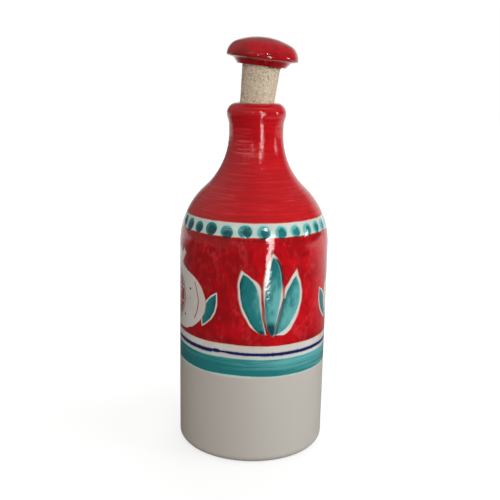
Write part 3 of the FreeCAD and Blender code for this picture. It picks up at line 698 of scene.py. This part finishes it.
corkForm = {             # mm, along the stopper's axis from where it seats
    "foot": -11.0,
    "top": 26.6,
    "footRadius": 9.35,
    "topRadius": 11.3,
    "chamfer": 0.6,
    "glued": 3.4,        # how much of it is inside the knob
    "wholeBelow": 2.5,
    "wholeInside": 9,    # from its axis
    "crumble": 0.16,
    "crumbleWide": 1.5,
    "pitDepth": 0.55,
    "pitWide": 2.6,
    "granule": 0.8,
    "specksPerMm": 1.9,
    "bendsPerMm": 0.9,
    "powderPerMm": 4.0,
    "segments": 200,
    "pale": "#E8D7BF",
    "tan": "#CFBDA3",
    "resin": "#7B6650",
    "bark": "#56483A",
}


def makeCorkStuff():
    # agglomerated cork: granules of bark bonded and cut, matt and dry, each granule its own tan,
    # with dark specks of bark skin and open pits between the grains
    form = corkForm
    material, add = newMaterial("cut_cork")
    inMm = add("Mapping", {"Vector": add("TexCoord", out="Object"), "Scale": (1 / mm, 1 / mm, 1 / mm)})
    wobble = add("TexNoise", {"Vector": inMm, "Scale": form["bendsPerMm"], "Detail": 2.0}, out="Color")
    bent = add("VectorMath", wobble, (1.2, 1.2, 1.2), inMm, **scaled)
    grains = add("TexVoronoi", {"Vector": bent, "Scale": 1 / form["granule"]}, out="Color")
    seams = add("TexVoronoi", {"Vector": bent, "Scale": 1 / form["granule"]}, feature="DISTANCE_TO_EDGE")
    seam = add("MapRange", seams, 0.0, 0.09, 0.22, 0.0)
    tone = add("Mix", {0: grains, 6: hexColor(form["tan"]), 7: hexColor(form["pale"])}, **tint)
    tone = add("Mix", {0: seam, 6: tone, 7: hexColor(form["resin"])}, **tint)
    specks = add("TexNoise", {"Vector": inMm, "Scale": form["specksPerMm"], "Detail": 2.0, "Roughness": 0.6})
    dark = add("MapRange", specks, 0.585, 0.645, 0, 0.8, **soft)
    tone = add("Mix", {0: dark, 6: tone, 7: hexColor(form["bark"])}, **tint)
    powder = add("TexNoise", {"Vector": inMm, "Scale": form["powderPerMm"], "Detail": 2.0})
    heights = add("Math", add("Math", powder, 0.35, seams, **scaled), dark, **minus)
    bump = add("Bump", {"Height": heights, "Distance": 0.35 * mm, "Strength": 0.8})
    shader = add("BsdfPrincipled", {"Base Color": tone, "Roughness": 0.9, "Normal": bump, "IOR": 1.4,
                                    "Specular IOR Level": 0.25})
    add("OutputMaterial", {"Surface": shader})
    return material


def makeCork():
    form = corkForm
    foot, top, cut = form["foot"], form["top"], form["chamfer"]
    points = joinRuns(
        linePoints((0, foot), (form["footRadius"] - cut, foot), 2.5),
        [(form["footRadius"], foot + cut)],
        linePoints((form["footRadius"], foot + cut), (form["topRadius"], top - cut), 0.33),
        [(form["topRadius"] - cut, top)],
        linePoints((form["topRadius"] - cut, top), (0, top), 2.5))
    bm = spinSection(points, form["segments"])
    for vert in bm.verts:  # crumbled between the lip and the knob, and left whole where it is held
        spot = vert.co / mm
        held = spot.z < form["wholeBelow"] or spot.z > top - form["glued"]
        if held or math.hypot(spot.x, spot.y) < form["wholeInside"]:
            continue
        grain = noise.fractal(spot / form["crumbleWide"], 0.9, 2.0, 3)
        pit = max(0, noise.fractal(spot / form["pitWide"] + Vector((11, 5, 2)), 0.8, 2.1, 3) - 0.34)
        deep = form["crumble"] * (0.5 + 0.5 * grain) + form["pitDepth"] * min(1, 4 * pit)
        vert.co -= vert.normal * deep * mm
    leanInMouth(bm, 0)
    cork = finishPiece(bm, "cut_cork", makeCorkStuff(), crease=38)
    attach(cork, "root")
    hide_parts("cork")
    print("cork cut:", len(cork.data.polygons), "faces")


knobForm = {             # mm, from the collar's foot
    "above": 22.6,       # the collar's foot above the seat
    "socketRadius": 11.4,
    "socketDepth": 4.0,
    "collarRadius": 14.2,
    "collarTopRadius": 16.7,
    "collarHeight": 3.0,
    "collarEdge": 0.5,
    "rimHeight": 4.75,
    "rimRadius": 1.0,
    "radius": 20.9,
    "knuckleRadius": 8.9,
    "crownRadius": 37.4,
    "height": 16.3,
    "lump": 0.16,
    "lumpWide": 9,
    "smallLumpWide": 3.6,
    "segments": 180,
    "patchesPerMm": 0.09,
    "strokesPerMm": 0.5,
    "roughness": 0.085,
    "thickRed": "#86050E",
    "thinRed": "#B60D1A",
}


def makeRedGlaze():
    # the same tin glaze, washed red all over a small solid pot: darker and duller where the colour is thick
    form = knobForm
    material, add = newMaterial("red_tin_glaze")
    inMm = add("Mapping", {"Vector": add("TexCoord", out="Object"), "Scale": (1 / mm, 1 / mm, 1 / mm)})
    cloud = add("TexNoise", {"Vector": inMm, "Scale": form["patchesPerMm"], "Detail": 4.0, "Roughness": 0.6})
    strokes = add("TexNoise", {"Vector": inMm, "Scale": form["strokesPerMm"], "Detail": 3.0,
                               "Roughness": 0.6})
    both = add("Math", strokes, 0.35, cloud, **scaled)
    thinness = add("MapRange", both, 0.52, 0.84)
    thick, thin = hexColor(form["thickRed"]), hexColor(form["thinRed"])
    red = add("Mix", {0: thinness, 6: thick, 7: thin}, **tint)
    bump = add("Bump", {"Height": both, "Distance": mm, "Strength": 0.12})
    shader = add("BsdfPrincipled", {"Base Color": red, "Roughness": form["roughness"], "Normal": bump,
                                    "IOR": finish["ior"]})
    add("OutputMaterial", {"Surface": shader})
    return material


def makeKnob():
    form = knobForm
    rim = (form["radius"] - form["rimRadius"], form["rimHeight"])
    collarTop = (form["collarTopRadius"], form["collarHeight"])
    toRim = math.dist(collarTop, rim)
    heading = math.atan2(rim[1] - collarTop[1], rim[0] - collarTop[0]) - math.asin(form["rimRadius"] / toRim)
    undersideTurn = math.degrees(heading) - 90
    knuckle = (form["radius"] - form["knuckleRadius"], form["rimHeight"])
    crown = (0, form["height"] - form["crownRadius"])
    shoulderTurn = math.degrees(math.atan2(knuckle[1] - crown[1], knuckle[0]))
    edge = form["collarEdge"]
    flare = math.atan2(form["collarHeight"], form["collarTopRadius"] - form["collarRadius"])
    setback = edge / math.tan((math.pi - flare) / 2)
    roundAt = (form["collarRadius"] - setback, edge)
    coneFoot = (form["collarRadius"] + setback * math.cos(flare), setback * math.sin(flare))
    points = joinRuns(
        linePoints((0, form["socketDepth"]), (form["socketRadius"], form["socketDepth"]), 3),
        linePoints((form["socketRadius"], form["socketDepth"]), (form["socketRadius"], 0), 1),
        [(roundAt[0], 0)],
        arcPoints(roundAt, edge, -90, math.degrees(flare) - 90, 0.2),
        linePoints(coneFoot, collarTop, 0.7),
        arcPoints(rim, form["rimRadius"], undersideTurn, 0, 0.25),
        arcPoints(knuckle, form["knuckleRadius"], 0, shoulderTurn, 0.6),
        arcPoints(crown, form["crownRadius"], shoulderTurn, 90, 0.8))
    bm = spinSection(points, form["segments"])
    for vert in bm.verts:
        spot = vert.co / mm
        if math.hypot(spot.x, spot.y) > form["collarRadius"] + 0.5 or spot.z > form["collarHeight"] + 3:
            lump = 0.5 + 0.5 * noise.noise(spot / form["lumpWide"])
            lump += 0.3 * (0.5 + 0.5 * noise.noise(spot / form["smallLumpWide"]))
            vert.co -= vert.normal * form["lump"] * lump * mm
    leanInMouth(bm, form["above"])
    knob = finishPiece(bm, "glazed_knob", makeRedGlaze(), crease=55)
    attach(knob, "root")
    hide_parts("stopper_knob")
    print("knob turned:", len(knob.data.polygons), "faces")


crumbForm = {            # mm, and degrees round the knob's foot from the front
    "count": 11,
    "from": 22,
    "to": 66,
    "ring": 11.75,
    "spread": (-0.2, 0.5),
    "small": 0.28,
    "large": 0.62,
    "rough": 0.09,
    "burnt": "#6E2A20",
    "pale": "#A8784E",
    "seed": 5,
}


def makeCrumbs():  # bits of glaze and glue squeezed out where the cork meets the knob
    form = crumbForm
    luck = random.Random(form["seed"])
    bm = bmesh.new()
    for _ in range(form["count"]):
        bearing = math.radians(luck.uniform(form["from"], form["to"]))
        reach = luck.uniform(form["small"], form["large"])
        ring = form["ring"] + luck.uniform(*form["spread"])
        spot = (ring * math.sin(bearing), -ring * math.cos(bearing), knobForm["above"] - 0.35 * reach)
        turn = Matrix.Rotation(luck.uniform(0, math.tau), 4, (luck.random(), luck.random(), 1))
        squash = Matrix.Diagonal((reach * 1.4, reach, reach * 0.8, 1))
        matrix = Matrix.Scale(mm, 4) @ Matrix.Translation(spot) @ turn @ squash
        bmesh.ops.create_icosphere(bm, subdivisions=2, radius=1, matrix=matrix)
    for vert in bm.verts:
        vert.co += vert.normal * form["rough"] * noise.noise(vert.co / mm * 1.7) * mm
    leanInMouth(bm, 0)
    # brownish red crumbs: glaze that ran and took up glue and cork dust, half glossy
    material, add = newMaterial("burnt_glaze_crumbs")
    inMm = add("Mapping", {"Vector": add("TexCoord", out="Object"), "Scale": (1 / mm, 1 / mm, 1 / mm)})
    patches = add("TexNoise", {"Vector": inMm, "Scale": 1.2})
    pick = add("MapRange", patches, 0.4, 0.6)
    tone = add("Mix", {0: pick, 6: hexColor(form["burnt"]), 7: hexColor(form["pale"])}, **tint)
    bump = add("Bump", {"Height": patches, "Distance": 0.3 * mm})
    shader = add("BsdfPrincipled", {"Base Color": tone, "Roughness": 0.4, "Normal": bump})
    add("OutputMaterial", {"Surface": shader})
    crumbs = finishPiece(bm, "glaze_crumbs", material)
    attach(crumbs, "root")
    print("crumbs at the knob's foot:", form["count"])


room = {                 # strengths of light, where 1 is white, and metres from the pot
    "low": 0.2,
    "ceiling": 0.6,
    "climb": (0.1, 0.75),        # from the horizon up, where the one turns into the other
    "wall": "#F8F6F4",
    "paper": "#A9A9A9",
    "paperReach": 3,
    "paperGlow": 0.7,            # near the pot, where the shadow has to show; it is 1 further out
    "paperGlowFades": (0.06, 0.5),
    "inGlaze": 0.5,              # how much of the room in front shows in the glaze
    "leftInGlaze": 0.22,
    "leftWall": (-0.1, -0.98),
    "tableInGlaze": 0.09,
    "paperBehind": (0.08, 0.6),  # from where the glaze shows the paper white
    "roomBehind": (0.68, 1.05),  # and the room, by direction
    "roomBelow": (0.6, 0.2),
    "behindToRight": 0.25,
}


def makeRoom():
    # pale paper under and behind the pot: it takes the shadow, is white to the camera, and shows white
    # in the glaze too, but only where it stands, behind the pot and to the right
    paper = bmesh.new()
    bmesh.ops.create_grid(paper, x_segments=1, y_segments=1, size=room["paperReach"])
    material, add = newMaterial("white_paper")
    path = add("LightPath", out=None).outputs
    seen = add("Math", path["Is Camera Ray"], path["Is Transmission Ray"], **most)
    where = add("SeparateXYZ", add("TexCoord", out="Object"), out=None).outputs
    back = add("Math", where[0], room["behindToRight"], where[1], **scaled)
    inGlaze = add("MapRange", back, *room["paperBehind"], room["tableInGlaze"], 1.0, **soft)
    matt = add("BsdfDiffuse", {"Color": hexColor(room["paper"])})
    far = add("VectorMath", add("TexCoord", out="Object"), operation="LENGTH", out=1)
    glow = add("MapRange", far, *room["paperGlowFades"], room["paperGlow"], 1.0, **soft)
    glow = add("Emission", {"Color": (1, 1, 1, 1), "Strength": glow})
    lit = add("MixShader", seen, matt, add("AddShader", matt, glow))
    mirrored = add("Emission", {"Color": (1, 1, 1, 1), "Strength": inGlaze})
    add("OutputMaterial", {"Surface": add("MixShader", path["Is Glossy Ray"], lit, mirrored)})
    finishPiece(paper, "paper", material)

    world = bpy.data.worlds.new("room")
    world.use_nodes = True
    world.node_tree.nodes.clear()
    bpy.context.scene.world = world
    add = partial(addNode, world.node_tree)
    path = add("LightPath", out=None).outputs
    way = add("SeparateXYZ", add("TexCoord", out="Generated"), out=None).outputs
    back = add("Math", way[0], room["behindToRight"], way[1], **scaled)
    back = add("MapRange", back, *room["roomBehind"], **soft)
    back = add("Math", back, add("MapRange", way[2], *room["roomBelow"], **soft), **times)
    seen = add("Math", path["Is Camera Ray"], path["Is Transmission Ray"], **most)
    seen = add("Math", seen, add("Math", path["Is Glossy Ray"], back, **times), **most)
    ceiling = add("MapRange", way[2], *room["climb"], room["low"], room["ceiling"], **soft)
    inGlaze = add("Math", path["Is Glossy Ray"], room["inGlaze"] - 1, 1, **scaled)
    ceiling = add("Math", ceiling, inGlaze, **times)
    leftWall = add("MapRange", way[0], *room["leftWall"], 0, room["leftInGlaze"], **soft)
    ceiling = add("Math", path["Is Glossy Ray"], leftWall, ceiling, **scaled)
    dim = add("Background", {"Color": hexColor(room["wall"]), "Strength": ceiling})
    white = add("Background", {"Color": (1, 1, 1, 1), "Strength": 1.0})
    add("OutputWorld", {"Surface": add("MixShader", seen, dim, white)})
    print("room and paper set")


# lamps: bearing from the front and elevation in degrees, distance, width and height in metres, watts.
# The broad ones light the pot, the narrow ones only show in its glaze, and all of them face one spot.
lampAim = (0, 0, 0.13)
lamps = {
    "side window": {"at": (80, 12, 1.3), "size": (1.0, 1.2), "watts": 10.8, "colour": "#F7FBFF"},
    "left fill": {"at": (-75, 10, 1.5), "size": (1.0, 1.0), "watts": 1.2, "colour": "#FFDCC0"},
    "front fill": {"at": (12, 12, 1.6), "size": (1.2, 0.8), "watts": 12.0},
    "back fill": {"at": (170, 22, 1.7), "size": (1.4, 1.0), "watts": 10.0},
    "tall softbox": {"at": (24, 1.5, 0.39), "size": (0.043, 0.27), "watts": 0.5, "turn": -11, "glaze": True},
    "high lamp": {"at": (19, 28, 1.1), "size": (0.1, 0.07), "watts": 0.7, "glaze": True},
    "row lamp": {"at": (21, 12.5, 1.0), "size": (0.085, 0.075), "watts": 0.6, "glaze": True},
    "top rail": {"at": (-22, 27, 0.95), "size": (0.9, 0.025), "watts": 0.22, "glaze": True},
    "left lamp": {"at": (-14, 16.5, 1.0), "size": (0.09, 0.04), "watts": 0.26, "glaze": True},
    "right lamp": {"at": (88, 10, 1.0), "size": (0.12, 0.08), "watts": 0.55, "glaze": True},
}


def hangLamps():
    target = Vector(lampAim)
    for name, form in lamps.items():
        lamp = bpy.data.lights.new(name, "AREA")
        lamp.shape = "RECTANGLE"
        lamp.size, lamp.size_y = form["size"]
        lamp.energy = form["watts"]
        lamp.color = hexColor(form.get("colour", "#FFFFFF"))[:3]
        rig = bpy.data.objects.new(name, lamp)
        bpy.context.scene.collection.objects.link(rig)
        inGlaze = form.get("glaze", False)
        rig.visible_camera = False
        rig.visible_glossy = inGlaze
        rig.visible_diffuse = not inGlaze
        bearing, elevation = (math.radians(value) for value in form["at"][:2])
        way = Vector((math.sin(bearing) * math.cos(elevation), -math.cos(bearing) * math.cos(elevation),
                      math.sin(elevation)))
        rig.location = target + form["at"][2] * way
        facing = (target - rig.location).to_track_quat("-Z", "Y").to_matrix()
        rig.rotation_euler = (facing @ Matrix.Rotation(math.radians(form.get("turn", 0)), 3, "Z")).to_euler()
    print("lamps hung:", len(lamps))


view = {                 # metres and degrees
    "place": (0, -0.4758, 0.22982),
    "down": 14.27,
    "aside": -0.25,
    "roll": 1.12,
    "lens": 57.5,        # mm, as is the next
    "sensor": 36,
    "rise": 0.0354,
}


def setCamera():
    camera = bpy.data.cameras.new("camera")
    camera.lens = view["lens"]
    camera.sensor_width = view["sensor"]
    camera.shift_y = view["rise"]
    camera.clip_start = 0.01
    rig = bpy.data.objects.new("camera", camera)
    bpy.context.scene.collection.objects.link(rig)
    yaw, pitch, roll = (math.radians(view[key]) for key in ("aside", "down", "roll"))
    tilt = Matrix.Rotation(math.radians(90) - pitch, 4, "X") @ Matrix.Rotation(roll, 4, "Z")
    rig.matrix_world = Matrix.Translation(view["place"]) @ Matrix.Rotation(-yaw, 4, "Z") @ tilt
    bpy.context.scene.camera = rig
    print("camera set")


makeBottle()
makeCork()
makeKnob()
makeCrumbs()
makeRoom()
hangLamps()
setCamera()

bpy.context.scene.view_settings.view_transform = "Standard"
